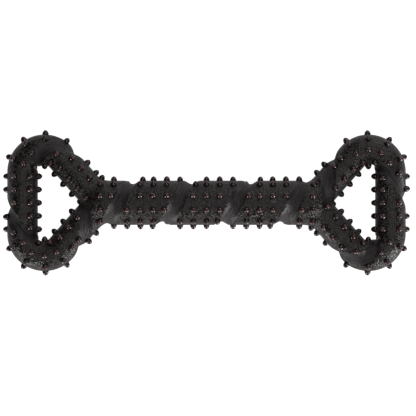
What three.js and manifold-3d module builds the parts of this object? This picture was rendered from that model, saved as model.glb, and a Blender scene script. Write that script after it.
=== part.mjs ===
// Dog chew toy: a straight rubber shaft with a triangular hand loop at each end.
// Every member is a round bar along its centreline, with one spiral groove that winds round it.
// Rows of bullet-shaped nubs stand on the land between the turns of the groove.
// Millimetres. The toy lies flat with the shaft along X, +Z up, and the origin on the floor below
// the middle of the shaft.
import * as THREE from 'three';
import { mergeGeometries, mergeVertices } from 'three/addons/utils/BufferGeometryUtils.js';
import Module from 'manifold-3d';

// Shaft
const shaftRadius = 18;
const shaftLead = 47.5; // length of one turn of the groove
const shaftGrooveWidth = 12.2; // square to its run
const shaftNubRows = 10;
const shaftNubPitch = 10.7;
const shaftNubClear = 7.3; // from the middle of the groove to the middle of a nub
const shaftNubNudge = 2.6; // the furthest that a nub moves along its row to clear the groove
const shaftColumns = 15; // rings of nubs on the shaft itself, one at its middle
const domeOffset = 1.75; // from the end of the shaft to where the neck starts to round off
const domeLength = 15;
const domeTip = 0.98; // share of the dome's length at its flat tip

// Hand loops
const loopRadius = 12.4;
const barCentre = 148.8; // from the middle to the centreline of the grip bar
const bendSpread = 25.1; // from the shaft axis to the centre of a bend
const bendRadius = 17.8; // of the centreline
const armMeeting = 85.3; // from the middle to where the arms' centrelines cross
const loopLead = 76;
const loopGrooveOuter = 3; // from the middle of the grip bar to the groove on its outer side
const loopGrooveWidth = 10.8;
const loopNubRows = 6;
const bendNubRows = 8;
const loopNubPitch = 10.7;
const loopNubClear = 6;
const loopNubNudge = 3.4;
const barColumns = 5; // rings of nubs on the grip bar, one at its middle
const bendColumns = 4;
const armColumns = 2;
const rootColumns = 2; // on the root of an arm, which belongs to the neck

// Spiral groove
const grooveDepth = 2.8;
const grooveFloor = 0.45; // share of its width that is the flat floor
const grooveFade = 12; // length over which it runs out on the neck

// Nubs
const nubDiameter = 4.5;
const nubHeight = 3.5;
const nubShoulder = 2.3; // height at which a nub starts to close
const nubShoulderDiameter = 3.8;
const nubRoot = 0.9; // sunk in the land
const nubSides = 4;
const nubSeat = 1.2; // a nub's middle stays this many nub radii clear of an end face
const nubSunk = 2; // and may stand this deep in another member of the neck
const nubGap = 4.4; // least distance between the tips, or the feet, of two nubs
const restFlat = 0.6; // flat on the tips that the toy lies on

// Between members
const clearance = 0.3;

// Facets
const shaftSides = 2 * shaftNubRows; // so that each row of nubs runs along the middle of a flat
const loopSides = 2 * loopNubRows;
const domeSteps = 5;
const grooveLip = 0.05; // the groove's cutter starts this far above the land
const grooveLift = 5; // and ends this far above it

const charcoal = 0x2f2d2c;
const rubberRoughness = 0.6;

const shaftNubAngle = 2 * Math.PI / shaftNubRows;
const axisHeight = (shaftRadius + nubHeight) * Math.cos(shaftNubAngle / 2) - restFlat;
const shaftHalf = shaftColumns / 2 * shaftNubPitch;
const domeStart = shaftHalf + domeOffset;
const barLast = (barColumns - 1) / 2; // rings of nubs are counted from the middle of the grip bar
const bendLast = barLast + bendColumns;
const armLast = bendLast + armColumns;
const span = 4 * barCentre; // a block this large is past the toy on every side
const up = new THREE.Vector3(0, 0, 1);

const wasm = await Module();
wasm.setup();

function solidOf(geometry) {
  const bare = geometry.clone();
  bare.deleteAttribute('normal');
  bare.deleteAttribute('uv');
  const merged = mergeVertices(bare);
  const vertProperties = new Float32Array(merged.attributes.position.array);
  const triVerts = new Uint32Array(merged.index.array);
  return new wasm.Manifold(new wasm.Mesh({ numProp: 3, vertProperties, triVerts }));
}

function geometryOf(solid) {
  const mesh = solid.getMesh();
  const geometry = new THREE.BufferGeometry();
  geometry.setAttribute('position', new THREE.BufferAttribute(mesh.vertProperties, mesh.numProp));
  geometry.setIndex(new THREE.BufferAttribute(mesh.triVerts, 1));
  geometry.computeVertexNormals();
  return geometry;
}

// Even shares from 0 up to, and without, 1
function steps(count) {
  return Array.from({ length: count }, (_, i) => i / count);
}

function ringsBetween(first, last) {
  return Array.from({ length: last - first + 1 }, (_, i) => first + i);
}

// A straight centreline along X, measured from the middle of the toy, with rounded ends where the
// groove runs out. Side is up, so angles run from the top of the shaft towards +Y. Marks are the
// places that need a section of their own.
const shaftLine = {
  radius: shaftRadius,
  lead: shaftLead,
  grooveStart: shaftLead / 2,
  grooveWidth: shaftGrooveWidth,
  sides: shaftSides,
  rowOffset: shaftNubAngle / 2,
  pitch: shaftNubPitch,
  nubClear: shaftNubClear,
  nubNudge: shaftNubNudge,
  marks: steps(domeSteps).map((share) => domeStart + domeLength * Math.sin(share * Math.PI / 2)),
  scaleAt(s) {
    const past = Math.max(Math.abs(s) - domeStart, 0) / domeLength;
    return Math.sqrt(Math.max(1 - past ** 2, 0));
  },
  notchAt(s) {
    const past = Math.max(Math.abs(s) - shaftHalf, 0) / grooveFade;
    return Math.max(1 - past, 0);
  },
  at(s) {
    return {
      centre: new THREE.Vector3(s, 0, 0),
      side: up.clone(),
      across: new THREE.Vector3(0, 1, 0),
      along: new THREE.Vector3(1, 0, 0),
    };
  },
};

// The loop's centreline, measured from the middle of the grip bar towards +Y: half the bar, a bend
// and an arm that ends on the shaft axis. Side points out of the loop, and angles run from there to up.
const bendCentreX = barCentre - bendRadius;
const meetingReach = Math.hypot(bendCentreX - armMeeting, bendSpread);
const armSlope = Math.atan2(bendSpread, bendCentreX - armMeeting) + Math.asin(bendRadius / meetingReach);
const bendTurn = Math.PI / 2 + armSlope;
const bendLength = bendRadius * bendTurn;
const armLength = Math.sqrt(meetingReach ** 2 - bendRadius ** 2);
const loopHalf = bendSpread + bendLength + armLength;
const bendRings = ringsBetween(barLast + 1, bendLast);
const bendSections = bendRings.flatMap((ring) => [ring - 1 / 4, ring + 1 / 4]);
const bendPlaces = bendSections.map((place) => place * loopNubPitch);
const insideBend = bendPlaces.filter((place) => place > bendSpread && place < bendSpread + bendLength);
const bendMarks = [bendSpread, ...insideBend, bendSpread + bendLength];

const loopLine = {
  radius: loopRadius,
  lead: loopLead,
  grooveStart: loopGrooveOuter,
  grooveWidth: loopGrooveWidth,
  sides: loopSides,
  rowOffset: 0,
  pitch: loopNubPitch,
  nubClear: loopNubClear,
  nubNudge: loopNubNudge,
  marks: [...bendMarks.map((mark) => -mark).reverse(), ...bendMarks],
  scaleAt() {
    return 1;
  },
  notchAt() {
    return 1;
  },
  at(s) {
    const run = Math.abs(s);
    const hand = Math.sign(s) || 1;
    const turned = THREE.MathUtils.clamp((run - bendSpread) / bendRadius, 0, bendTurn);
    const side = new THREE.Vector3(Math.cos(turned), hand * Math.sin(turned), 0);
    const across = up.clone();
    const along = new THREE.Vector3(-hand * Math.sin(turned), Math.cos(turned), 0);
    const centre = new THREE.Vector3(bendCentreX, hand * bendSpread, 0).addScaledVector(side, bendRadius);
    const beforeBend = Math.min(run - bendSpread, 0);
    const afterBend = Math.max(run - bendSpread - bendLength, 0);
    centre.addScaledVector(along, hand * (beforeBend + afterBend));
    return { centre, side, across, along };
  },
};

// Slope of the groove, from straight round the member
function grooveSlope(line) {
  return Math.atan2(line.lead, 2 * Math.PI * line.radius);
}

// Where the groove is on the section at s
function grooveAngle(line, s) {
  return 2 * Math.PI * (s - line.grooveStart) / line.lead;
}

function pointOn(line, s, angle, radius) {
  const { centre, side, across } = line.at(s);
  centre.addScaledVector(side, radius * Math.cos(angle));
  return centre.addScaledVector(across, radius * Math.sin(angle));
}

// A closed body through rings of points, all with the same count
function loft(rings) {
  const count = rings[0].length;
  const positions = rings.flat().flatMap((point) => point.toArray());
  const lastRing = (rings.length - 1) * count;
  const indices = [];
  for (let ring = 0; ring < lastRing; ring += count) {
    for (let i = 0; i < count; i += 1) {
      const next = (i + 1) % count;
      indices.push(ring + i, ring + count + i, ring + next);
      indices.push(ring + next, ring + count + i, ring + count + next);
    }
  }
  for (let i = 1; i < count - 1; i += 1) {
    indices.push(0, i, i + 1);
    indices.push(lastRing, lastRing + i + 1, lastRing + i);
  }
  const geometry = new THREE.BufferGeometry();
  geometry.setAttribute('position', new THREE.Float32BufferAttribute(positions, 3));
  geometry.setIndex(indices);
  return solidOf(geometry);
}

// Angle of an edge between two flats of a bar
function edgeAngle(line, edge) {
  return line.rowOffset + (edge + 1 / 2) * 2 * Math.PI / line.sides;
}

// Radius of the edges at s, where the flats touch the true radius
function edgeRadius(line, s) {
  return line.radius / Math.cos(Math.PI / line.sides) * line.scaleAt(s);
}

// A round bar along a stretch of a line, faceted so that the rows of nubs stand on flats
function bar(line, from, to) {
  const places = [from, ...line.marks.filter((mark) => mark > from && mark < to), to];
  const edges = ringsBetween(0, line.sides - 1);
  const rings = places.map((s) => {
    return edges.map((edge) => pointOn(line, s, edgeAngle(line, edge), edgeRadius(line, s)));
  });
  return loft(rings);
}

// What the groove takes away along a stretch of a line: a section with a flat floor and sloping
// flanks, placed on each edge of the bar that the spiral crosses, that reaches above the land
function groove(line, from, to) {
  const halfWidth = line.grooveWidth / 2 / Math.cos(grooveSlope(line));
  const halfFloor = grooveFloor * halfWidth;
  const flat = 2 * Math.PI / line.sides;
  const first = Math.floor((grooveAngle(line, from) - edgeAngle(line, 0)) / flat);
  const last = Math.ceil((grooveAngle(line, to) - edgeAngle(line, 0)) / flat);
  const rings = ringsBetween(first, last).map((edge) => {
    const angle = edgeAngle(line, edge);
    const s = line.grooveStart + angle / (2 * Math.PI) * line.lead;
    const lip = edgeRadius(line, s) + grooveLip;
    const floor = edgeRadius(line, s) - grooveDepth * line.notchAt(s);
    const top = edgeRadius(line, s) + grooveLift;
    return [
      pointOn(line, s - halfWidth, angle, top),
      pointOn(line, s - halfWidth, angle, lip),
      pointOn(line, s - halfFloor, angle, floor),
      pointOn(line, s + halfFloor, angle, floor),
      pointOn(line, s + halfWidth, angle, lip),
      pointOn(line, s + halfWidth, angle, top),
    ];
  });
  return loft(rings);
}

function grooved(line, from, to) {
  const overrun = line.grooveWidth;
  return bar(line, from, to).subtract(groove(line, from - overrun, to + overrun));
}

function nubGeometry() {
  const profile = [
    new THREE.Vector2(0, -nubRoot),
    new THREE.Vector2(nubDiameter / 2, -nubRoot),
    new THREE.Vector2(nubShoulderDiameter / 2, nubShoulder),
    new THREE.Vector2(0, nubHeight),
  ];
  const lathe = new THREE.LatheGeometry(profile, nubSides);
  return lathe.rotateX(Math.PI / 2);
}

// Places for nubs on a range of rings: one that is too near the groove moves along its row, or is
// left out where that is too far
function nubPlaces(line, rings, rows, accepts) {
  const slope = grooveSlope(line);
  const places = [];
  for (const ring of rings) {
    for (let row = 0; row < rows; row += 1) {
      const angle = line.rowOffset + row * 2 * Math.PI / rows;
      const turns = (angle - grooveAngle(line, ring * line.pitch)) / (2 * Math.PI);
      const offGroove = (turns - Math.round(turns)) * line.lead * Math.cos(slope);
      const short = Math.max(line.nubClear - Math.abs(offGroove), 0);
      const nudge = short / Math.cos(slope);
      const s = ring * line.pitch - Math.sign(offGroove) * nudge;
      const reach = line.radius * line.scaleAt(s);
      const foot = pointOn(line, s, angle, reach);
      const tip = pointOn(line, s, angle, reach + nubHeight);
      if (nudge < line.nubNudge && accepts(foot)) {
        places.push({ foot, tip });
      }
    }
  }
  return places;
}

// Leaves out each nub that crowds one that is already placed
function spread(places) {
  const kept = [];
  for (const place of places) {
    const crowded = kept.some((other) => other.tip.distanceTo(place.tip) < nubGap
      || other.foot.distanceTo(place.foot) < nubGap);
    if (!crowded) {
      kept.push(place);
    }
  }
  return kept;
}

function nubs(places) {
  const shape = nubGeometry();
  const copies = spread(places).map(({ foot, tip }) => {
    const outward = tip.clone().sub(foot).normalize();
    const turn = new THREE.Quaternion().setFromUnitVectors(up, outward);
    const one = new THREE.Vector3(1, 1, 1);
    return shape.clone().applyMatrix4(new THREE.Matrix4().compose(foot, turn, one));
  });
  return solidOf(mergeGeometries(copies));
}

// Whether a nub at a point stands wholly between the end faces of a stretch
function between(line, from, to) {
  const start = line.at(from);
  const end = line.at(to);
  const room = nubSeat * nubDiameter / 2;
  return (point) => point.clone().sub(start.centre).dot(start.along) > room
    && end.centre.clone().sub(point).dot(end.along) > room;
}

// Everything below the floor, to flatten the lowest tips
function belowFloor() {
  const block = new THREE.BoxGeometry(span, span, span);
  block.translate(0, 0, -axisHeight - span / 2);
  return solidOf(block);
}

function addMesh(group, name, solid) {
  const material = new THREE.MeshStandardMaterial({
    color: charcoal,
    roughness: rubberRoughness,
    metalness: 0,
  });
  const mesh = new THREE.Mesh(geometryOf(solid), material);
  mesh.name = name;
  group.add(mesh);
}

// Shaft
function shaft() {
  const end = shaftHalf - clearance / 2;
  const body = grooved(shaftLine, -end, end);
  const lastRing = (shaftColumns - 1) / 2;
  const fits = between(shaftLine, -end, end);
  const places = nubPlaces(shaftLine, ringsBetween(-lastRing, lastRing), shaftNubRows, fits);
  return body.add(nubs(places)).subtract(belowFloor());
}

// Straight or bent stretch of the loop that holds a range of nub rings
function loopStretch(firstRing, lastRing, rows) {
  const from = (firstRing - 1 / 2) * loopNubPitch + clearance / 2;
  const to = (lastRing + 1 / 2) * loopNubPitch - clearance / 2;
  const body = grooved(loopLine, from, to);
  const fits = between(loopLine, from, to);
  return body.add(nubs(nubPlaces(loopLine, ringsBetween(firstRing, lastRing), rows, fits)));
}

// The rounded end of the shaft
function shaftEnd(from) {
  const to = domeStart + domeLength * domeTip;
  const cutter = groove(shaftLine, from - shaftGrooveWidth, shaftHalf + grooveFade);
  return bar(shaftLine, from, to).subtract(cutter);
}

// Ends of the root of an arm: its last ring of nubs and the shaft axis
function armEnds(hand) {
  const outer = (armLast + 1 / 2) * loopNubPitch + clearance / 2;
  return hand > 0 ? [outer, loopHalf] : [-loopHalf, -outer];
}

function clearOfArm(point, hand) {
  const start = loopLine.at(hand * loopHalf).centre;
  const end = loopLine.at(hand * (bendSpread + bendLength)).centre;
  const nearest = new THREE.Line3(start, end).closestPointToPoint(point, true, new THREE.Vector3());
  return nearest.distanceTo(point) > loopRadius - nubSunk;
}

function clearOfShaftEnd(point) {
  const along = Math.max(point.x - domeStart, 0) / (domeLength - nubSunk);
  const off = Math.hypot(point.y, point.z) / (shaftRadius - nubSunk);
  return Math.hypot(along, off) > 1;
}

// Where the shaft divides into two arms
function neck() {
  const from = shaftHalf + clearance / 2;
  const shaftSide = new THREE.BoxGeometry(span, span, span);
  shaftSide.translate(from - span / 2, 0, 0);
  const onShaft = between(shaftLine, from, domeStart + domeLength);
  const onShaftAlone = (point) => onShaft(point) && clearOfArm(point, 1) && clearOfArm(point, -1);
  const places = nubPlaces(shaftLine, [(shaftColumns + 1) / 2], shaftNubRows, onShaftAlone);
  const rootRings = ringsBetween(armLast + 1, armLast + rootColumns);
  let body = shaftEnd(from);
  for (const hand of [-1, 1]) {
    const ends = armEnds(hand);
    const onArm = between(loopLine, ...ends);
    const onArmAlone = (point) => onArm(point) && clearOfShaftEnd(point) && clearOfArm(point, -hand);
    const rings = rootRings.map((ring) => hand * ring);
    places.push(...nubPlaces(loopLine, rings, loopNubRows, onArmAlone));
    body = body.add(grooved(loopLine, ...ends));
  }
  return body.subtract(solidOf(shaftSide)).add(nubs(places)).subtract(belowFloor());
}

const toy = new THREE.Group();
toy.position.z = axisHeight;
const loops = { left: new THREE.Group(), right: new THREE.Group() };
loops.left.rotation.z = Math.PI;
toy.add(loops.left, loops.right);
addMesh(toy, 'shaft', shaft());

const ahead = { left: 'lower', right: 'upper' }; // the arm that the loop's centreline runs to
const behind = { left: 'upper', right: 'lower' };
for (const [name, group] of Object.entries(loops)) {
  const positive = ahead[name];
  const negative = behind[name];
  addMesh(group, `${name}_neck`, neck());
  addMesh(group, `${name}_${positive}_arm`, loopStretch(bendLast + 1, armLast, loopNubRows));
  addMesh(group, `${name}_${positive}_bend`, loopStretch(barLast + 1, bendLast, bendNubRows));
  addMesh(group, `${name}_grip_bar`, loopStretch(-barLast, barLast, loopNubRows));
  addMesh(group, `${name}_${negative}_bend`, loopStretch(-bendLast, -barLast - 1, bendNubRows));
  addMesh(group, `${name}_${negative}_arm`, loopStretch(-armLast, -bendLast - 1, loopNubRows));
}

export default toy;
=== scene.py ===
import math
import bmesh
import bpy
import numpy as np
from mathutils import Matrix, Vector


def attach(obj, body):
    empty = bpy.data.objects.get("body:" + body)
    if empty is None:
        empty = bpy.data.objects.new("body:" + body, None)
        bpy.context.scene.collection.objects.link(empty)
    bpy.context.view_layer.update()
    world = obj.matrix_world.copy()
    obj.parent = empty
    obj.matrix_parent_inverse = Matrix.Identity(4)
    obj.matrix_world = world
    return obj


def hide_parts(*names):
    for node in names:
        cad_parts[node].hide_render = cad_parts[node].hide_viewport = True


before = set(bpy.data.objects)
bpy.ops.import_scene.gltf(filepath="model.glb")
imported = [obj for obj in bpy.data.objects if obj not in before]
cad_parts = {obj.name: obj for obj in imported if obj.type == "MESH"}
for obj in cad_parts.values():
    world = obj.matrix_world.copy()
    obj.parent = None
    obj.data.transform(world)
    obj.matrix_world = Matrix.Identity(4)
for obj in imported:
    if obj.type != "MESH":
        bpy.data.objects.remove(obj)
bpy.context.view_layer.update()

# A moulded rubber chew toy: a grooved shaft, two grooved hand loops and rows of bullet nubs.
# Lengths are millimetres until a mesh is made; heights count from the shaft axis.
metre = 0.001
turn = 2 * math.pi
tiny = 1e-12

shaft = {
    "radius": 18.0, "domeStart": 82.0, "domeLength": 15.0,
    "lead": 47.5, "grooveStart": 23.75, "grooveWidth": 12.2,
    "rows": 10, "rings": 15, "pitch": 10.7, "nubClear": 7.3, "nubNudge": 2.6,
    "ringStep": 0.7, "columns": 132,
}
loop = {
    "radius": 12.4, "barCentre": 148.8, "bendSpread": 25.1, "bendRadius": 17.8, "armMeeting": 85.3,
    "lead": 76.0, "grooveStart": 3.0, "grooveWidth": 12.6,
    "rows": 6, "bendRows": 8, "barRings": 5, "bendRings": 4, "armRings": 2, "rootRings": 2,
    "pitch": 10.7, "nubClear": 6.0, "nubNudge": 3.4,
    "ringStep": 0.8, "columns": 96,
}
groove = {"depth": 2.8, "roundness": 1.15, "fade": 12.0, "armFadeFrom": 4.0, "armFadeOver": 8.0}
nub = {
    "radius": 2.6, "height": 3.5, "power": 0.55, "levels": (-0.34, 0.0, 0.35, 0.62, 0.82, 0.95),
    "segments": 12, "steep": 0.9, "sizeSpread": 0.04, "seed": 11,
    "gap": 4.4, "seat": 2.6, "sunk": -2.0, "leastNotch": 0.3, "restFlat": 0.6,
}

# Derived lengths of the loop: half the grip bar, a bend, then a straight arm down to the shaft axis
bendCentreX = loop["barCentre"] - loop["bendRadius"]
meetingReach = math.hypot(bendCentreX - loop["armMeeting"], loop["bendSpread"])
armSlope = math.atan2(loop["bendSpread"], bendCentreX - loop["armMeeting"])
armSlope += math.asin(loop["bendRadius"] / meetingReach)
bendTurn = math.pi / 2 + armSlope
bendLength = loop["bendRadius"] * bendTurn
armLength = math.sqrt(meetingReach ** 2 - loop["bendRadius"] ** 2)
loopHalf = loop["bendSpread"] + bendLength + armLength

# Rings of nubs are counted from the middle of the bar or the shaft, and the cuts lie halfway between two
barLast = (loop["barRings"] - 1) // 2
bendLast = barLast + loop["bendRings"]
armLast = bendLast + loop["armRings"]
armCut = (armLast + 0.5) * loop["pitch"]
shaftLast = (shaft["rings"] - 1) // 2
shaftHalf = shaft["rings"] / 2 * shaft["pitch"]

# The toy lies on the two lowest rows of the shaft, whose tips give way a little
rowTilt = math.pi / shaft["rows"]
axisHeight = (shaft["radius"] + nub["height"]) * math.cos(rowTilt) - nub["restFlat"]


def stack(x, y, z):
    return np.stack(np.broadcast_arrays(x, y, z), -1).astype(float)


def unit(v):
    return v / np.maximum(np.linalg.norm(v, axis=-1, keepdims=True), tiny)


# Straight line along X: side is up, across is +Y
def shaftPath(s):
    return stack(s, 0, 0), stack(0 * s, 0, 1), stack(0 * s, 1, 0), stack(0 * s + 1, 0, 0)


# Loop centreline at distance s from the middle of the bar: side turns from +X through the bend angle,
# and the centre is the bend's centre plus its radius along side, slid along the straight runs
def loopPath(s):
    run, hand = np.abs(s), np.where(s < 0, -1.0, 1.0)
    bent = np.clip((run - loop["bendSpread"]) / loop["bendRadius"], 0, bendTurn)
    side = stack(np.cos(bent), hand * np.sin(bent), 0)
    along = stack(-hand * np.sin(bent), np.cos(bent), 0)
    slide = np.minimum(run - loop["bendSpread"], 0) + np.maximum(run - loop["bendSpread"] - bendLength, 0)
    centre = stack(bendCentreX, hand * loop["bendSpread"], 0) + side * loop["bendRadius"]
    return centre + along * (hand * slide)[..., None], side, stack(0 * s, 0, 1), along


# Groove strength: full on the shaft and running out on its rounded end, full on the loop until the
# arm sinks into the shaft
def shaftNotch(s):
    return np.clip(1 - (np.abs(s) - shaftHalf) / groove["fade"], 0, 1)


def loopNotch(s):
    return np.clip((loopHalf - np.abs(s) - groove["armFadeFrom"]) / groove["armFadeOver"], 0, 1)


shaft.update(path=shaftPath, notch=shaftNotch, rowOffset=rowTilt)
loop.update(path=loopPath, notch=loopNotch, rowOffset=0.0)


# Slope of the spiral: its lead over the length once round the member
def grooveSlope(member):
    return math.atan2(member["lead"], turn * member["radius"])


# Distance to the middle of the groove, square to its run: the angle off the spiral, wrapped to half a
# turn, times radius times the sine of the spiral's slope
def grooveOffset(member, s, angle):
    off = angle - turn * (s - member["grooveStart"]) / member["lead"]
    off = off - turn * np.round(off / turn)
    return off * member["radius"] * math.sin(grooveSlope(member))


# Share of the full depth: 1 less the square of the offset's share of the half width, to a power a little
# over one, which gives a round floor and clear edges
def grooveShare(member, s, angle):
    u = np.clip(np.abs(grooveOffset(member, s, angle)) / (member["grooveWidth"] / 2), 0, 1)
    return member["notch"](s) * (1 - u ** 2) ** groove["roundness"]


# Radius of the member less the depth of the groove there
def radiusAt(member, s, angle):
    return member["radius"] - groove["depth"] * grooveShare(member, s, angle)


# Values that the rubber reads: how deep in the groove, and distances across and along its run
def grooveValues(member, s, angle):
    across = grooveOffset(member, s, angle)
    along = angle * member["radius"] * math.cos(grooveSlope(member)) + s * math.sin(grooveSlope(member))
    return {"grooveShare": grooveShare(member, s, angle), "grooveAcross": across, "grooveAlong": along}


# Centre of a section, and the direction out of it at an angle
def outward(member, s, angle):
    centre, side, across, _ = member["path"](s)
    return centre, side * np.cos(angle)[..., None] + across * np.sin(angle)[..., None]


neck = {
    "fillet": 5.0, "apexFillet": 2.0, "overrun": 4.0, "tubeColumns": 48, "domeSteps": 12, "domeTip": 0.97,
    "voxel": 0.8, "relax": 4, "relaxShare": 0.5, "longest": 0.8, "weld": 1e-4, "flatness": 0.01,
}
# Newton steps onto a field: the reach that slopes are measured over, and limits that keep a step short
settle = {
    "reach": 0.04, "raySteps": 7, "pointSteps": 8, "longest": 1.0, "leastSlope": 0.3, "leastSquare": 0.1,
}


# Distance from the shaft's axis, with the run past the start of its rounded end scaled to a ball
def fromShaft(p):
    past = np.maximum(p[..., 0] - shaft["domeStart"], 0) / shaft["domeLength"]
    return np.hypot(past * shaft["radius"], np.hypot(p[..., 1], p[..., 2]))


# Distance from an arm's axis, rounded at its root, with the place along the loop and the angle round it
def fromArm(p, hand):
    root, side, up, along = loopPath(np.array(hand * loopHalf))
    run = (p - root) @ (-hand * along)
    radial = p - root + np.maximum(run, 0)[..., None] * hand * along
    return np.linalg.norm(radial, axis=-1), hand * (loopHalf - run), np.arctan2(radial @ up, radial @ side)


# Smaller of two fields, eased together where they are nearer than the fillet
def easedMin(a, b, fillet):
    h = np.maximum(fillet - np.abs(a - b), 0) / fillet
    return np.minimum(a, b) - h ** 2 * fillet / 4


# Height above the skin near the right neck: distance from each axis less the grooved radius, for the
# round-ended shaft and the two arms, eased together
def neckField(p):
    overShaft = fromShaft(p) - radiusAt(shaft, p[..., 0], np.arctan2(p[..., 1], p[..., 2]))
    overArms = []
    for hand in (1, -1):
        reach, s, angle = fromArm(p, hand)
        overArms.append(reach - radiusAt(loop, s, angle))
    return easedMin(overShaft, easedMin(overArms[0], overArms[1], neck["apexFillet"]), neck["fillet"])


# The left end is the right end turned half round
def skinField(p):
    hand = np.where(p[..., 0] < 0, -1, 1)
    return neckField(p * stack(hand, hand, 1))


# Slope of a field along X, Y and Z, from its values a short reach to each side
def fieldSlope(field, p):
    reach = settle["reach"]
    return np.stack([(field(p + step) - field(p - step)) / (2 * reach) for step in np.eye(3) * reach], -1)


# One Newton step of free points towards the surface of a field, with the slope that was used
def stepOnto(field, p, longest):
    slope = fieldSlope(field, p)
    square = np.maximum(np.sum(slope ** 2, -1), settle["leastSquare"])
    return p - slope * np.clip(field(p) / square, -longest, longest)[:, None], slope


# Radius along each ray of a section where the field is nought, by Newton steps
def settledSurface(member, s, angle):
    centre, out = outward(member, s, angle)
    radius = radiusAt(member, s, angle)
    for _ in range(settle["raySteps"]):
        p = centre + out * radius[..., None]
        slope = np.maximum(np.sum(fieldSlope(skinField, p) * out, -1), settle["leastSlope"])
        radius = radius - np.clip(skinField(p) / slope, -settle["longest"], settle["longest"])
    p = centre + out * radius[..., None]
    return p, unit(fieldSlope(skinField, p))


# Section circles with the groove sunk in, and normals from the cross of the two surface steps
def plainSurface(member, s, angle):
    def at(ds, da):
        centre, out = outward(member, s + ds, angle + da)
        return centre + out * radiusAt(member, s + ds, angle + da)[..., None]
    step = settle["reach"]
    normal = np.cross(at(0, step) - at(0, -step), at(step, 0) - at(-step, 0))
    p = at(0, 0)
    facing = np.sum(normal * (p - member["path"](s)[0]), -1, keepdims=True)
    return p, unit(normal * np.sign(facing))


# The left loop is the right one turned half round
def turned(v, flip):
    return v * np.array([-1, -1, 1] if flip else [1, 1, 1])


# From the shaft axis to the frame: lifted off the floor, in metres
def toRow(p, flip):
    return (turned(p, flip) + np.array([0, 0, axisHeight])) * metre


# Faces of a pile of closed rings: quads between rings, and a fan from one added point at each end
def ringFaces(rings, columns):
    index = np.arange(rings * columns).reshape(rings, columns)
    after = np.roll(index, -1, axis=1)
    quads = np.stack([index[:-1], after[:-1], after[1:], index[1:]], -1).reshape(-1, 4)
    first = np.stack([np.full(columns, index.size), after[0], index[0]], -1)
    last = np.stack([np.full(columns, index.size + 1), index[-1], after[-1]], -1)
    return quads, np.concatenate([first, last])


# Values that the items of a mesh hold, one row for each item
def readValues(items, name, width, kind=float):
    data = np.zeros(len(items) * width, kind)
    items.foreach_get(name, data)
    return data.reshape(-1, width)


# Adds one value for each point of a mesh
def markPoints(mesh, name, data):
    layer = mesh.attributes.new(name, "FLOAT", "POINT")
    layer.data.foreach_set("value", data.astype(np.float32).ravel())


# Mesh from point, quad and triangle arrays, with a normal for each corner and named point values
def makePiece(name, points, quads, triangles, cornerNormals, values, material):
    corners = np.concatenate([quads.ravel(), triangles.ravel()]).astype(np.int32)
    sizes = np.concatenate([np.full(len(quads), 4), np.full(len(triangles), 3)])
    starts = np.concatenate([[0], np.cumsum(sizes)[:-1]]).astype(np.int32)
    mesh = bpy.data.meshes.new(name)
    mesh.vertices.add(len(points))
    mesh.vertices.foreach_set("co", points.astype(np.float32).ravel())
    mesh.loops.add(len(corners))
    mesh.loops.foreach_set("vertex_index", corners)
    mesh.polygons.add(len(sizes))
    mesh.polygons.foreach_set("loop_start", starts)
    mesh.update(calc_edges=True)
    mesh.shade_smooth()
    for label, data in values.items():
        markPoints(mesh, label, data)
    if cornerNormals is not None:
        mesh.normals_split_custom_set(cornerNormals.tolist())
    mesh.materials.append(material)
    piece = bpy.data.objects.new(name, mesh)
    bpy.context.scene.collection.objects.link(piece)
    return piece


# Every piece rides on the one body and stands in for a CAD node
def place(piece, node):
    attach(piece, "root")
    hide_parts(node)


print("shape functions ready")


# Colour: sRGB hex to linear
def rgb(code):
    parts = np.array([int(code[i:i + 2], 16) for i in (1, 3, 5)]) / 255
    linear = np.where(parts <= 0.04045, parts / 12.92, ((parts + 0.055) / 1.055) ** 2.4)
    return (*linear.tolist(), 1.0)


# Adds a node, sets its properties and values, and links named inputs
def addNode(tree, kind, props=None, values=None, links=None):
    node = tree.nodes.new(kind)
    for key, value in (props or {}).items():
        setattr(node, key, value)
    for key, value in (values or {}).items():
        node.inputs[key].default_value = value
    for key, source in (links or {}).items():
        tree.links.new(source, node.inputs[key])
    return node


def newMaterial(name):
    material = bpy.data.materials.new(name)
    material.use_nodes = True
    tree = material.node_tree
    tree.nodes.clear()
    return material, tree


# Scale of a pattern: how many of its size fit in a metre
def perMetre(millimetres):
    return 1 / (millimetres * metre)


rubber = {
    "land": "#312826", "landWorn": "#403634", "crease": "#090707",
    "floorDark": "#231f20", "floorLight": "#403b3c",
    "pebble": 1.5, "pebbleEdge": 0.8, "pebbleTop": 0.1, "fine": 0.8, "fineShare": 0.6, "grain": 0.3,
    "grainFade": 0.5, "grainGroove": 0.25,
    "streakAcross": 1.1, "streakAlong": 16.0, "streak": 1.2, "streakSpan": (0.35, 0.65),
    "cloud": 16.0, "toneSpan": (0.35, 0.68), "roughSpan": (0.3, 0.7),
    "ringShadeWidth": 1.5, "ringShadeDepth": 0.4,
    "roughLow": 0.22, "roughHigh": 0.38, "roughGroove": 0.54, "ior": 1.48,
}
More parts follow.
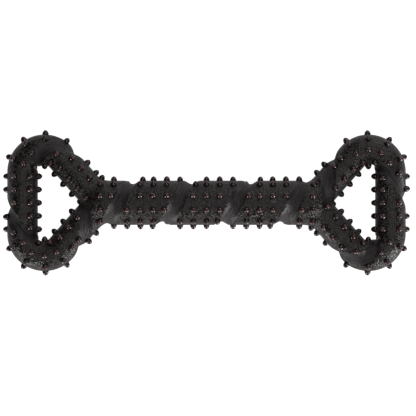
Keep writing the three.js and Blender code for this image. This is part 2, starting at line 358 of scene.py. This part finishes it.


# Natural rubber moulded in a spark-eroded tool: matte charcoal land with a leathery pebble grain that
# glints at grazing light, its creases darkened with painted shade, a painted shade ring round the foot of
# each nub, and a duller groove with fine streaks along its run in place of the grain, its grey colour
# partly a painted sheen.
# The pebbles are drawn at 1.5 mm, coarser than the real grain, so that they show at this size.
def charcoalRubber():
    material, tree = newMaterial("moulded_charcoal_rubber")
    coords = addNode(tree, "ShaderNodeTexCoord").outputs["Object"]
    share = addNode(tree, "ShaderNodeAttribute", {"attribute_name": "grooveShare"}).outputs["Fac"]
    across = addNode(tree, "ShaderNodeAttribute", {"attribute_name": "grooveAcross"}).outputs["Fac"]
    along = addNode(tree, "ShaderNodeAttribute", {"attribute_name": "grooveAlong"}).outputs["Fac"]
    footGap = addNode(tree, "ShaderNodeAttribute", {"attribute_name": "footGap"}).outputs["Fac"]
    # Grain: pebbles and a finer roughness, fading into the groove
    cells = addNode(tree, "ShaderNodeTexVoronoi", {"feature": "F1"},
                    {"Scale": perMetre(rubber["pebble"])}, {"Vector": coords})
    pebble = addNode(tree, "ShaderNodeMapRange", {"interpolation_type": "SMOOTHSTEP"},
                     {"From Min": rubber["pebbleEdge"], "From Max": rubber["pebbleTop"]},
                     {"Value": cells.outputs["Distance"]})
    fine = addNode(tree, "ShaderNodeTexNoise", None,
                   {"Scale": perMetre(rubber["fine"]), "Detail": 2.0}, {"Vector": coords})
    grain = addNode(tree, "ShaderNodeMath", {"operation": "MULTIPLY_ADD"}, {1: rubber["fineShare"]},
                    {0: fine.outputs["Fac"], 2: pebble.outputs["Result"]})
    keep = addNode(tree, "ShaderNodeMapRange", None,
                   {"From Max": rubber["grainFade"], "To Min": 1.0, "To Max": rubber["grainGroove"]},
                   {"Value": share})
    landHeight = addNode(tree, "ShaderNodeMath", {"operation": "MULTIPLY"}, None,
                         {0: grain.outputs["Value"], 1: keep.outputs["Result"]})
    grainBump = addNode(tree, "ShaderNodeBump", None, {"Distance": rubber["grain"] * metre},
                        {"Height": landHeight.outputs["Value"]})
    # Streaks: noise drawn out along the groove
    runs = addNode(tree, "ShaderNodeCombineXYZ", None, None, {"X": across, "Y": along})
    stretched = addNode(tree, "ShaderNodeVectorMath", {"operation": "MULTIPLY"},
                        {1: (1 / rubber["streakAcross"], 1 / rubber["streakAlong"], 0)},
                        {0: runs.outputs["Vector"]})
    streaks = addNode(tree, "ShaderNodeTexNoise", {"noise_dimensions": "2D"},
                      {"Scale": 1.0, "Detail": 3.0}, {"Vector": stretched.outputs["Vector"]})
    grooveHeight = addNode(tree, "ShaderNodeMath", {"operation": "MULTIPLY"}, None,
                           {0: streaks.outputs["Fac"], 1: share})
    streakBump = addNode(tree, "ShaderNodeBump", None, {"Distance": rubber["streak"] * metre},
                         {"Height": grooveHeight.outputs["Value"], "Normal": grainBump.outputs["Normal"]})
    # Colour: worn clouds on the land, painted shade in the grain's creases, grey streaks in the groove
    # that are partly a painted sheen, and a painted shade ring round the foot of each nub
    cloud = addNode(tree, "ShaderNodeTexNoise", None,
                    {"Scale": perMetre(rubber["cloud"]), "Detail": 4.0, "Roughness": 0.6},
                    {"Vector": coords})
    tone = addNode(tree, "ShaderNodeMapRange", None,
                   {"From Min": rubber["toneSpan"][0], "From Max": rubber["toneSpan"][1]},
                   {"Value": cloud.outputs["Fac"]})
    base = addNode(tree, "ShaderNodeMix", {"data_type": "RGBA"},
                   {6: rgb(rubber["land"]), 7: rgb(rubber["landWorn"])}, {0: tone.outputs["Result"]})
    # Painted shade: the near-black crease colour darkens the creases between the pebbles
    creased = addNode(tree, "ShaderNodeMix", {"data_type": "RGBA"}, {6: rgb(rubber["crease"])},
                      {0: pebble.outputs["Result"], 7: base.outputs[2]})
    streakTone = addNode(tree, "ShaderNodeMapRange", None,
                         {"From Min": rubber["streakSpan"][0], "From Max": rubber["streakSpan"][1]},
                         {"Value": streaks.outputs["Fac"]})
    # Partly painted sheen: the groove floor is coloured greyer than the land, its streaked grey standing
    # in for the sheen of a surface without grain
    floorColour = addNode(tree, "ShaderNodeMix", {"data_type": "RGBA"},
                          {6: rgb(rubber["floorDark"]), 7: rgb(rubber["floorLight"])},
                          {0: streakTone.outputs["Result"]})
    coloured = addNode(tree, "ShaderNodeMix", {"data_type": "RGBA"}, None,
                       {0: share, 6: creased.outputs[2], 7: floorColour.outputs[2]})
    # Painted shade: within a ring round the foot of each nub the land darkens towards the crease colour
    ringShadeTone = addNode(tree, "ShaderNodeMapRange", {"interpolation_type": "SMOOTHSTEP"},
                       {"From Min": nub["radius"], "From Max": nub["radius"] + rubber["ringShadeWidth"],
                        "To Min": 1 - rubber["ringShadeDepth"]}, {"Value": footGap})
    ringShaded = addNode(tree, "ShaderNodeMix", {"data_type": "RGBA"}, {6: rgb(rubber["crease"])},
                     {0: ringShadeTone.outputs["Result"], 7: coloured.outputs[2]})
    # Sheen: uneven on the land and duller in the groove
    landRough = addNode(tree, "ShaderNodeMapRange", None,
                        {"From Min": rubber["roughSpan"][0], "From Max": rubber["roughSpan"][1],
                         "To Min": rubber["roughLow"], "To Max": rubber["roughHigh"]},
                        {"Value": cloud.outputs["Fac"]})
    roughness = addNode(tree, "ShaderNodeMix", {"data_type": "FLOAT"}, {3: rubber["roughGroove"]},
                        {0: share, 2: landRough.outputs["Result"]})
    shader = addNode(tree, "ShaderNodeBsdfPrincipled", None, {"IOR": rubber["ior"]},
                     {"Base Color": ringShaded.outputs[2], "Roughness": roughness.outputs[0],
                      "Normal": streakBump.outputs["Normal"]})
    addNode(tree, "ShaderNodeOutputMaterial", None, None, {"Surface": shader.outputs["BSDF"]})
    return material


bead = {
    "foot": "#0b0706", "footShadeTo": 0.75, "dark": "#2a1412", "light": "#4c292a",
    "cloud": 6.0, "toneSpan": (0.35, 0.65), "wave": 1.6, "waveHeight": 0.08, "rough": 0.13, "ior": 1.65,
}


# Harder rubber of the nubs, polished by the mould: dark reddish brown, glossy, with painted shade darker
# towards the foot, with slight differences from nub to nub and a faintly uneven skin
def nubRubber():
    material, tree = newMaterial("polished_brown_rubber")
    coords = addNode(tree, "ShaderNodeTexCoord").outputs["Object"]
    lift = addNode(tree, "ShaderNodeAttribute", {"attribute_name": "nubShare"}).outputs["Fac"]
    cloud = addNode(tree, "ShaderNodeTexNoise", None, {"Scale": perMetre(bead["cloud"]), "Detail": 2.0},
                    {"Vector": coords})
    tone = addNode(tree, "ShaderNodeMapRange", None,
                   {"From Min": bead["toneSpan"][0], "From Max": bead["toneSpan"][1]},
                   {"Value": cloud.outputs["Fac"]})
    base = addNode(tree, "ShaderNodeMix", {"data_type": "RGBA"},
                   {6: rgb(bead["dark"]), 7: rgb(bead["light"])}, {0: tone.outputs["Result"]})
    # Painted shade: each nub darkens to the near-black foot colour towards its foot
    lifted = addNode(tree, "ShaderNodeMapRange", None, {"From Max": bead["footShadeTo"]}, {"Value": lift})
    shaded = addNode(tree, "ShaderNodeMix", {"data_type": "RGBA"}, {6: rgb(bead["foot"])},
                     {0: lifted.outputs["Result"], 7: base.outputs[2]})
    wave = addNode(tree, "ShaderNodeTexNoise", None, {"Scale": perMetre(bead["wave"]), "Detail": 1.0},
                   {"Vector": coords})
    bump = addNode(tree, "ShaderNodeBump", None, {"Distance": bead["waveHeight"] * metre},
                   {"Height": wave.outputs["Fac"]})
    shader = addNode(tree, "ShaderNodeBsdfPrincipled", None,
                     {"IOR": bead["ior"], "Roughness": bead["rough"]},
                     {"Base Color": shaded.outputs[2], "Normal": bump.outputs["Normal"]})
    addNode(tree, "ShaderNodeOutputMaterial", None, None, {"Surface": shader.outputs["BSDF"]})
    return material


bodyRubber = charcoalRubber()
nubFinish = nubRubber()
print("materials ready")

# Stretches of a loop: first ring, last ring and the surface that fits; ahead is +s, behind is -s
stretches = {
    "grip_bar": (-barLast, barLast, plainSurface),
    "ahead_bend": (barLast + 1, bendLast, plainSurface),
    "behind_bend": (-bendLast, -barLast - 1, plainSurface),
    "ahead_arm": (bendLast + 1, armLast, settledSurface),
    "behind_arm": (-armLast, -bendLast - 1, settledSurface),
}
wording = {"right": {"ahead": "upper", "behind": "lower"}, "left": {"ahead": "lower", "behind": "upper"}}


# The left loop is turned half round, so what is ahead lies at its lower side
def nodeName(hand, stretch):
    words = stretch.split("_")
    return "_".join([hand, wording[hand].get(words[0], words[0]), words[1]])


# A stretch ends half a pitch beyond its first and last rings
def loopEnds(firstRing, lastRing):
    return (firstRing - 0.5) * loop["pitch"], (lastRing + 0.5) * loop["pitch"]


# Grid of rings and columns round a stretch of a member, closed by a flat fan at each end
def memberPiece(node, member, start, end, surface, flip):
    rings, columns = int(round((end - start) / member["ringStep"])) + 1, member["columns"]
    angles = np.arange(columns) / columns * turn
    s, angle = np.meshgrid(np.linspace(start, end, rings), angles, indexing="ij")
    p, normal = surface(member, s, angle)
    normal = turned(normal, flip).reshape(-1, 3)
    centres, _, _, along = member["path"](np.array([start, end]))
    along = turned(along, flip)
    points = np.concatenate([toRow(p, flip).reshape(-1, 3), toRow(centres, flip)])
    quads, fans = ringFaces(rings, columns)
    corner, after, _, beside = points[quads[0]]
    if np.cross(after - corner, beside - corner) @ normal[0] < 0:
        quads, fans = quads[:, ::-1], fans[:, ::-1]
    endNormals = np.repeat(np.stack([-along[0], along[1]]), 3 * columns, 0)
    cornerNormals = np.concatenate([normal[quads.ravel()], endNormals])
    values = {key: np.append(data, [0, 0]) for key, data in grooveValues(member, s, angle).items()}
    piece = makePiece(node + "_skin", points, quads, fans, cornerNormals, values, bodyRubber)
    place(piece, node)


memberPiece("shaft", shaft, -shaftHalf, shaftHalf, settledSurface, False)
for hand in ("left", "right"):
    for stretch, (first, last, surface) in stretches.items():
        memberPiece(nodeName(hand, stretch), loop, *loopEnds(first, last), surface, hand == "left")
print("members made")


# Closed tube of circles, as a start for the neck
def tube(centres, side, up, radii):
    columns = neck["tubeColumns"]
    angle = np.arange(columns) / columns * turn
    out = side * np.cos(angle)[:, None] + up * np.sin(angle)[:, None]
    points = (centres[:, None] + out[None] * radii[:, None, None]).reshape(-1, 3)
    quads, _ = ringFaces(len(centres), columns)
    index = np.arange(len(points))
    return points, quads.tolist() + [index[:columns][::-1].tolist(), index[-columns:].tolist()]


# Rough neck: a round-ended tube for the shaft, with radius times the root of 1 less the square of the
# share of the dome, and a straight one for each arm
def neckTubes():
    bow = np.sin(np.linspace(0, neck["domeTip"], neck["domeSteps"]) * math.pi / 2)
    xs = np.append(shaftHalf - neck["overrun"], shaft["domeStart"] + shaft["domeLength"] * bow)
    past = np.maximum(xs - shaft["domeStart"], 0) / shaft["domeLength"]
    radii = shaft["radius"] * np.sqrt(1 - past ** 2)
    tubes = [tube(stack(xs, 0, 0), np.array([0, 0, 1.0]), np.array([0, 1.0, 0]), radii)]
    for hand in (1, -1):
        ends, out, up, _ = loopPath(np.array([hand * loopHalf, hand * armCut - hand * neck["overrun"]]))
        tubes.append(tube(ends, out[0], up[0], np.full(2, loop["radius"])))
    return tubes


# End planes of the neck: a point, and the direction out of the neck
def neckCuts():
    cuts = [(np.array([shaftHalf, 0, 0]), np.array([-1.0, 0, 0]))]
    for hand in (1, -1):
        centre, _, _, along = loopPath(np.array([hand * armCut]))
        cuts.append((centre[0], -hand * along[0]))
    return cuts


# Mean of the neighbours of each point along the edges
def neighbourMean(p, edges):
    total = np.zeros_like(p)
    count = np.zeros(len(p))
    for here, there in ((0, 1), (1, 0)):
        np.add.at(total, edges[:, here], p[edges[:, there]])
        np.add.at(count, edges[:, here], 1)
    return total / np.maximum(count, 1)[:, None]


# One voxel skin round the overlapping tubes
def voxelSkin(tubes):
    points, faces = [], []
    for tubePoints, tubeFaces in tubes:
        base = sum(len(p) for p in points)
        points.append(tubePoints)
        faces += [[i + base for i in face] for face in tubeFaces]
    mesh = bpy.data.meshes.new("neckRough")
    mesh.from_pydata((np.concatenate(points) * metre).tolist(), [], faces)
    bm = bmesh.new()
    bm.from_mesh(mesh)
    bmesh.ops.recalc_face_normals(bm, faces=bm.faces)
    bm.to_mesh(mesh)
    bm.free()
    blank = bpy.data.objects.new("neckRough", mesh)
    bpy.context.scene.collection.objects.link(blank)
    remesh = blank.modifiers.new("skin", "REMESH")
    remesh.mode = "VOXEL"
    remesh.voxel_size = neck["voxel"] * metre
    skin = bpy.data.meshes.new_from_object(blank.evaluated_get(bpy.context.evaluated_depsgraph_get()))
    bpy.data.objects.remove(blank)
    return skin


# The voxel skin drawn onto the eased field, evened out on the way, and cut flat at the end planes
def neckMesh(cuts):
    skin = voxelSkin(neckTubes())
    p = readValues(skin.vertices, "co", 3) / metre
    edges = readValues(skin.edges, "vertices", 2, np.int32)
    for step in range(settle["pointSteps"] + neck["relax"]):
        p, slope = stepOnto(neckField, p, neck["longest"])
        if step < neck["relax"]:
            normal = unit(slope)
            shift = neighbourMean(p, edges) - p
            p = p + neck["relaxShare"] * (shift - normal * np.sum(shift * normal, -1, keepdims=True))
    skin.vertices.foreach_set("co", p.ravel())
    bm = bmesh.new()
    bm.from_mesh(skin)
    for centre, direction in cuts:
        geometry = list(bm.verts) + list(bm.edges) + list(bm.faces)
        bmesh.ops.bisect_plane(bm, geom=geometry, plane_co=Vector(centre), plane_no=Vector(direction),
                               clear_outer=True, dist=neck["weld"])
        rim = [edge for edge in bm.edges if edge.is_boundary]
        bmesh.ops.holes_fill(bm, edges=rim, sides=0)
    bmesh.ops.triangulate(bm, faces=bm.faces)
    bm.to_mesh(skin)
    bm.free()
    points = readValues(skin.vertices, "co", 3)
    triangles = readValues(skin.polygons, "vertices", 3, np.int32)
    bpy.data.meshes.remove(skin)
    return points, triangles


# Groove values of the shaft or an arm, whichever is nearer
def neckValues(p):
    chosen = grooveValues(shaft, p[:, 0], np.arctan2(p[:, 1], p[:, 2]))
    near = np.hypot(p[:, 1], p[:, 2]) - shaft["radius"] + np.maximum(p[:, 0] - shaft["domeStart"], 0)
    for hand in (1, -1):
        reach, s, angle = fromArm(p, hand)
        gap = reach - loop["radius"]
        arm = grooveValues(loop, s, angle)
        chosen = {key: np.where(gap < near, arm[key], chosen[key]) for key in chosen}
        near = np.minimum(near, gap)
    return chosen


neckPlanes = neckCuts()
neckPoints, neckTriangles = neckMesh(neckPlanes)
neckNormals = unit(fieldSlope(neckField, neckPoints))[neckTriangles]
for planeCentre, planeDirection in neckPlanes:  # flat normals on the cut faces
    offPlane = np.abs((neckPoints[neckTriangles] - planeCentre) @ planeDirection)
    neckNormals[np.all(offPlane < neck["flatness"], axis=1)] = planeDirection
noQuads = np.zeros((0, 4), int)
for hand in ("left", "right"):
    flip = hand == "left"
    piece = makePiece(hand + "_neck_skin", toRow(neckPoints, flip), noQuads, neckTriangles,
                      turned(neckNormals, flip).reshape(-1, 3), neckValues(neckPoints), bodyRubber)
    place(piece, hand + "_neck")
print("necks made", len(neckTriangles))


# Nubs stand on a grid of rings and rows. One that is too near the groove moves along the member to
# just clear of it, or is left out where that is too far.
def nubGrid(member, rings, rows):
    s, row = np.meshgrid(np.asarray(rings, float) * member["pitch"], np.arange(rows), indexing="ij")
    angle = member["rowOffset"] + row * turn / rows
    off = grooveOffset(member, s, angle)
    short = np.maximum(member["nubClear"] - np.abs(off), 0) * (member["notch"](s) > nub["leastNotch"])
    slide = -np.where(off < 0, -1, 1) * short / math.cos(grooveSlope(member))
    keep = np.abs(slide) < member["nubNudge"]
    return (s + slide)[keep], angle[keep]


# Tests of which feet to keep: with room for a nub between the ends of a stretch, or not sunk in others
def inside(member, start, end):
    (a, b), _, _, along = member["path"](np.array([start, end]))
    return lambda foot: ((foot - a) @ along[0] > nub["seat"]) & ((b - foot) @ along[1] > nub["seat"])


def clearOf(*gaps):
    return lambda foot: np.all([gap(foot) > nub["sunk"] for gap in gaps], axis=0)


# Heights above the members without their groove
def shaftGap(p):
    return fromShaft(p) - shaft["radius"]


def aheadArmGap(p):
    return fromArm(p, 1)[0] - loop["radius"]


def behindArmGap(p):
    return fromArm(p, -1)[0] - loop["radius"]


# Leaves out each nub whose tip or foot crowds one that is already placed
def spread(foot, out):
    tip = foot + out * nub["height"]
    gaps = np.minimum(np.linalg.norm(tip[:, None] - tip[None], axis=-1),
                      np.linalg.norm(foot[:, None] - foot[None], axis=-1))
    keep = np.ones(len(foot), bool)
    for i in range(len(foot)):
        keep[i] = not np.any(gaps[i, :i][keep[:i]] < nub["gap"])
    return foot[keep], out[keep]


# Feet and axes of the nubs on a stretch, drawn onto a field where the skin is eased
def nubFeet(member, rings, rows, accepts, field=None):
    s, angle = nubGrid(member, rings, rows)
    centre, out = outward(member, s, angle)
    foot = centre + out * member["radius"]
    wanted = accepts(foot)
    foot, out = foot[wanted], out[wanted]
    if field is not None:
        for _ in range(settle["pointSteps"]):
            foot = stepOnto(field, foot, settle["longest"])[0]
        out = unit(fieldSlope(field, foot))
    return spread(foot, out)


# Distance from each point of a skin to the nearest foot, for the painted shade ring round it
def markFeet(skin, feet):
    p = readValues(skin.vertices, "co", 3) / metre
    markPoints(skin, "footGap", np.linalg.norm(p[:, None] - feet[None], axis=-1).min(1))


# Bullet: radius times 1 less the square of the share of the height, to a power; a foot sunk in the land
nubLevels = np.array(nub["levels"])
nubRadii = np.where(nubLevels > 0, (1 - nubLevels ** 2) ** nub["power"], 1.0)
rng = np.random.default_rng(nub["seed"])


# All nubs of a node in one mesh: rings round each axis, closed by a point at the foot and at the tip
def nubPiece(node, feet, axes, flip):
    feet, axes = toRow(feet, flip) / metre, turned(axes, flip)
    markFeet(bpy.data.objects[node + "_skin"].data, feet)
    count, segments = len(feet), nub["segments"]
    upright = np.abs(axes[:, 2:3]) >= nub["steep"]
    across = unit(np.cross(axes, np.where(upright, np.array([[1.0, 0, 0]]), np.array([[0, 0, 1.0]]))))
    other = np.cross(axes, across)
    size = 1 + rng.uniform(-nub["sizeSpread"], nub["sizeSpread"], count)
    angle = np.arange(segments) / segments * turn + rng.uniform(0, turn, (count, 1))
    ring = across[:, None] * np.cos(angle)[..., None] + other[:, None] * np.sin(angle)[..., None]
    height = nubLevels[None] * nub["height"] * size[:, None]
    radius = nubRadii[None] * nub["radius"] * size[:, None]
    body = feet[:, None, None] + axes[:, None, None] * height[..., None, None]
    body = body + ring[:, None] * radius[..., None, None]
    bottom = feet + axes * height[:, :1]
    top = feet + axes * (nub["height"] * size)[:, None]
    points = np.concatenate([body.reshape(count, -1, 3), bottom[:, None], top[:, None]], 1)
    points[..., 2] = np.maximum(points[..., 2], 0)  # the tips that the toy lies on give way
    quads, fans = ringFaces(len(nubLevels), segments)
    sample = points[0][quads[segments]]
    if np.cross(sample[1] - sample[0], sample[3] - sample[0]) @ (sample[0] - feet[0]) < 0:
        quads, fans = quads[:, ::-1], fans[:, ::-1]
    start = np.arange(count)[:, None, None] * points.shape[1]
    lift = np.concatenate([np.repeat(nubLevels, segments), [nubLevels[0], 1.0]])
    piece = makePiece(node + "_nubs", points.reshape(-1, 3) * metre, (quads + start).reshape(-1, 4),
                      (fans + start).reshape(-1, 3), None, {"nubShare": np.tile(lift, count)}, nubFinish)
    place(piece, node)
    return count


shaftRings = np.arange(-shaftLast, shaftLast + 1)
shaftFeet = nubFeet(shaft, shaftRings, shaft["rows"], inside(shaft, -shaftHalf, shaftHalf), skinField)
nubTotal = nubPiece("shaft", *shaftFeet, False)
rootRings = armLast + 1 + np.arange(loop["rootRings"])
neckParts = [
    nubFeet(shaft, [shaftLast + 1], shaft["rows"], clearOf(aheadArmGap, behindArmGap), neckField),
    nubFeet(loop, -rootRings, loop["rows"], clearOf(shaftGap, aheadArmGap), neckField),
    nubFeet(loop, rootRings, loop["rows"], clearOf(shaftGap, behindArmGap), neckField),
]
neckFeet, neckAxes = spread(*(np.concatenate(part) for part in zip(*neckParts)))
for hand in ("left", "right"):
    flip = hand == "left"
    nubTotal += nubPiece(hand + "_neck", neckFeet, neckAxes, flip)
    for stretch, (first, last, _) in stretches.items():
        rows = loop["bendRows"] if "bend" in stretch else loop["rows"]
        accepts = inside(loop, *loopEnds(first, last))
        feet, axes = nubFeet(loop, np.arange(first, last + 1), rows, accepts)
        nubTotal += nubPiece(nodeName(hand, stretch), feet, axes, flip)
print("nubs made", nubTotal)

# Studio in metres and watts: a pale floor, two low softboxes on the near side, one on the far side, a
# high one at the right and a strip overhead that runs across the shaft
studio = {
    "floor": "#f4f4f4", "floorHalf": 4, "floorRough": 0.9, "floorGlow": 0.88, "mirrorGlow": 0.12,
    "world": 0.06, "lampAim": (0, 0, 0.02),
    "width": 0.3365, "distance": 2.6, "aimX": 0.0012, "aimY": -0.0042, "sensor": 36,
}
lamps = {
    "nearLeftSoftbox": {"spot": (-0.42, -0.52, 0.07), "size": (0.36, 0.12), "watts": 2.1},
    "nearRightSoftbox": {"spot": (0.52, -0.48, 0.07), "size": (0.4, 0.12), "watts": 3.2},
    "farSoftbox": {"spot": (0.4, 0.85, 0.42), "size": (0.9, 0.6), "watts": 2.5},
    "highRight": {"spot": (0.74, -0.45, 0.9), "size": (0.5, 1.0), "watts": 1.5},
    "overheadStrip": {"spot": (0, 0, 3.2), "size": (0.6, 4), "watts": 23},
}


# Matte white paper that shows white to the camera and faintly in reflections, and keeps the shadow
def paleFloor():
    material, tree = newMaterial("pale_paper")
    ray = addNode(tree, "ShaderNodeLightPath").outputs
    mirrored = addNode(tree, "ShaderNodeMath", {"operation": "MULTIPLY"}, {1: studio["mirrorGlow"]},
                       {0: ray["Is Glossy Ray"]})
    glow = addNode(tree, "ShaderNodeMath", {"operation": "MULTIPLY_ADD"}, {1: studio["floorGlow"]},
                   {0: ray["Is Camera Ray"], 2: mirrored.outputs["Value"]})
    shader = addNode(tree, "ShaderNodeBsdfPrincipled", None,
                     {"Base Color": rgb(studio["floor"]), "Roughness": studio["floorRough"],
                      "Specular IOR Level": 0.0, "Emission Color": (1, 1, 1, 1)},
                     {"Emission Strength": glow.outputs["Value"]})
    addNode(tree, "ShaderNodeOutputMaterial", None, None, {"Surface": shader.outputs["BSDF"]})
    return material


half = studio["floorHalf"]
floorMesh = bpy.data.meshes.new("floor")
floorMesh.from_pydata([(-half, -half, 0), (half, -half, 0), (half, half, 0), (-half, half, 0)], [],
                      [(0, 1, 2, 3)])
floorMesh.materials.append(paleFloor())
floor = bpy.data.objects.new("floor", floorMesh)
bpy.context.scene.collection.objects.link(floor)

for name, lamp in lamps.items():
    light = bpy.data.lights.new(name, "AREA")
    light.shape = "RECTANGLE"
    light.size, light.size_y = lamp["size"]
    light.energy = lamp["watts"]
    softbox = bpy.data.objects.new(name, light)
    softbox.location = lamp["spot"]
    aim = Vector(studio["lampAim"]) - Vector(lamp["spot"])
    softbox.rotation_euler = aim.to_track_quat("-Z", "Y").to_euler()
    bpy.context.scene.collection.objects.link(softbox)

world = bpy.data.worlds.new("room")
world.use_nodes = True
world.node_tree.nodes["Background"].inputs["Color"].default_value = (1, 1, 1, 1)
world.node_tree.nodes["Background"].inputs["Strength"].default_value = studio["world"]
bpy.context.scene.world = world

# The lens makes the frame as wide as studio width at the height of the shaft axis
cameraData = bpy.data.cameras.new("camera")
cameraData.sensor_width = studio["sensor"]
cameraData.lens = studio["sensor"] * (studio["distance"] - axisHeight * metre) / studio["width"]
camera = bpy.data.objects.new("camera", cameraData)
camera.location = (studio["aimX"], studio["aimY"], studio["distance"])
bpy.context.scene.collection.objects.link(camera)
bpy.context.scene.camera = camera
bpy.context.scene.view_settings.view_transform = "Standard"
print("studio ready")
